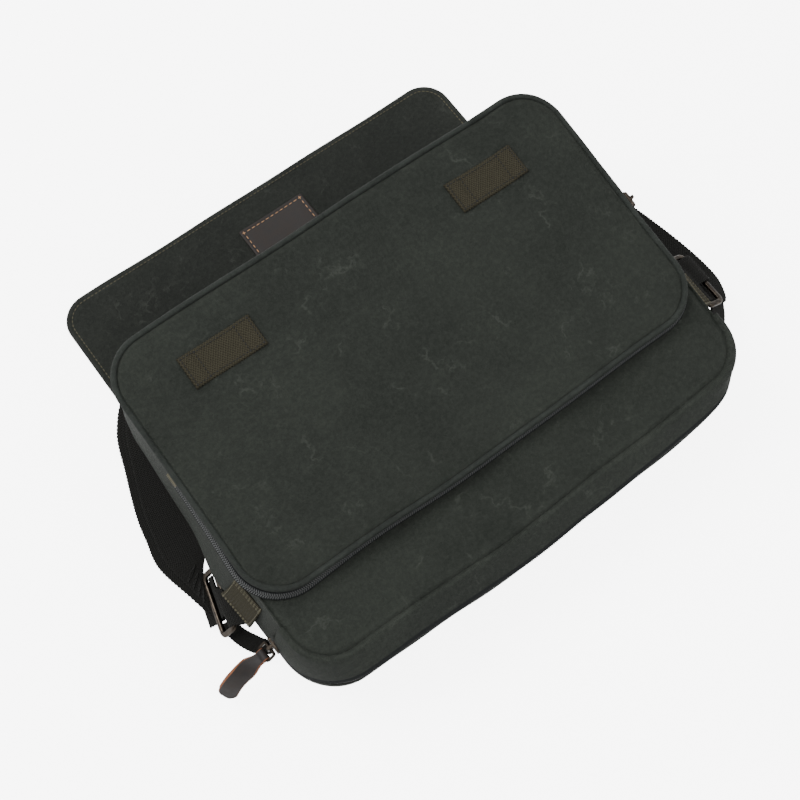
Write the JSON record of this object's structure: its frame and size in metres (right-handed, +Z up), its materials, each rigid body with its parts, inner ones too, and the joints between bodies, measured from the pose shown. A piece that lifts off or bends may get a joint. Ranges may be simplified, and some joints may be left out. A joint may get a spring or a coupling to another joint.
{
  "type": "messenger bag",
  "caption": "Waxed-canvas messenger bag lying on its back, zip mouth open, flap folded beneath, with piped zip pocket, webbing strap on metal rings and leather pulls.",
  "frame": {"origin": "middle of the whole bag's box, at the floor", "axes": "+X along the bag's width to its right side, -Y out of the mouth, +Y towards the bag's bottom, +Z up out of the front pocket; the bag lies on its back"},
  "size_m": [0.4678, 0.3552, 0.1198],
  "materials": {
    "canvas": "waxed cotton canvas, dark green-grey, dull",
    "flap_canvas": "waxed cotton canvas, dark green-grey, smooth",
    "piping": "the same canvas wrapped round a cord",
    "lining": "dark plain lining",
    "zip_coil": "grey-black coil and tape",
    "board": "stiff base board",
    "magnet": "plated disc",
    "olive_webbing": "ribbed olive-brown cotton webbing",
    "strap_webbing": "ribbed near-black webbing",
    "dark_metal": "antique gunmetal",
    "leather": "dark brown leather with raw tan edges",
    "brass": "aged brass"
  },
  "bodies": {
    "bag": {"back_panel": "canvas", "front_panel": "canvas", "gusset_strip": "canvas", "front_zip_lip": "canvas", "back_zip_lip": "canvas", "main_zip_front_chain": "zip_coil", "main_zip_back_chain": "zip_coil", "lining_pouch": "lining", "lining_front": "lining", "base_board": "board", "pocket_panel": "canvas", "pocket_piping": "piping", "pocket_gusset": "canvas", "pocket_zip_chain": "zip_coil", "magnet_patch_left": "olive_webbing", "magnet_patch_right": "olive_webbing", "pocket_magnet_left": "magnet", "pocket_magnet_right": "magnet", "flap_seam_binding": "canvas", "strap_left_lower": "strap_webbing", "strap_left_upper": "strap_webbing", "strap_right_run": "strap_webbing", "strap_folded_layer": "strap_webbing", "strap_middle": "strap_webbing", "side_tab_left": "olive_webbing", "side_tab_right": "olive_webbing"},
    "flap_root": {"flap_root_strip": "flap_canvas"},
    "flap_top": {"flap_top_strip": "flap_canvas"},
    "flap_front": {"flap_front_panel": "flap_canvas", "leather_label": "leather", "flap_magnet_left": "magnet", "flap_magnet_right": "magnet"},
    "main_slider": {"main_slider": "dark_metal"},
    "main_pull": {"main_pull_loop": "dark_metal", "main_leather_pull": "leather", "main_rivet": "brass"},
    "pocket_slider": {"pocket_slider": "dark_metal"},
    "pocket_pull": {"pocket_pull_loop": "dark_metal", "pocket_leather_pull": "leather", "pocket_rivet": "brass"},
    "left_ring": {"strap_ring_left": "dark_metal", "strap_end_left": "strap_webbing"},
    "right_ring": {"strap_ring_right": "dark_metal", "strap_end_right": "strap_webbing"},
    "adjuster": {"strap_adjuster": "dark_metal"}
  },
  "joints": [
    {"name": "flap_root_hinge", "type": "hinge", "parent": "bag", "child": "flap_root", "pos_m": [-0.0038, -0.15889, 0.001], "axis": [-1, 0, 0], "range_deg": [0, 180]},
    {"name": "flap_edge_fold", "type": "hinge", "parent": "flap_root", "child": "flap_top", "pos_m": [-0.0038, -0.12989, 0.001], "axis": [-1, 0, 0], "range_deg": [0, 90]},
    {"name": "flap_front_fold", "type": "hinge", "parent": "flap_top", "child": "flap_front", "pos_m": [-0.0038, -0.05389, 0.001], "axis": [-1, 0, 0], "range_deg": [0, 80]},
    {"name": "main_slider_run", "type": "hinge", "parent": "bag", "child": "main_slider", "pos_m": [-0.1428, -0.12889, 0.045], "axis": [0, 0, 1], "range_deg": [0, 40]},
    {"name": "main_pull_swing", "type": "hinge", "parent": "main_slider", "child": "main_pull", "pos_m": [-0.1938, -0.12889, 0.045], "axis": [0, 1, 0], "range_deg": [0, 100]},
    {"name": "pocket_slider_run", "type": "slide", "parent": "bag", "child": "pocket_slider", "axis": [0, -0.9829, -0.184], "range_m": [0, 0.02]},
    {"name": "pocket_pull_swing", "type": "hinge", "parent": "pocket_slider", "child": "pocket_pull", "pos_m": [0.1823, -0.02977, 0.09219], "axis": [0, -0.9829, -0.184], "range_deg": [0, 150]},
    {"name": "left_ring_swing", "type": "hinge", "parent": "bag", "child": "left_ring", "pos_m": [-0.1975, -0.07719, 0.0223], "axis": [0.2672, 0.9636, 0], "range_deg": [0, 40]},
    {"name": "right_ring_swing", "type": "hinge", "parent": "bag", "child": "right_ring", "pos_m": [0.1942, -0.09139, 0.046], "axis": [0, -1, 0], "range_deg": [0, 40]},
    {"name": "adjuster_slide", "type": "slide", "parent": "bag", "child": "adjuster", "axis": [1, 0, 0], "range_m": [0, 0.2]}
  ]
}
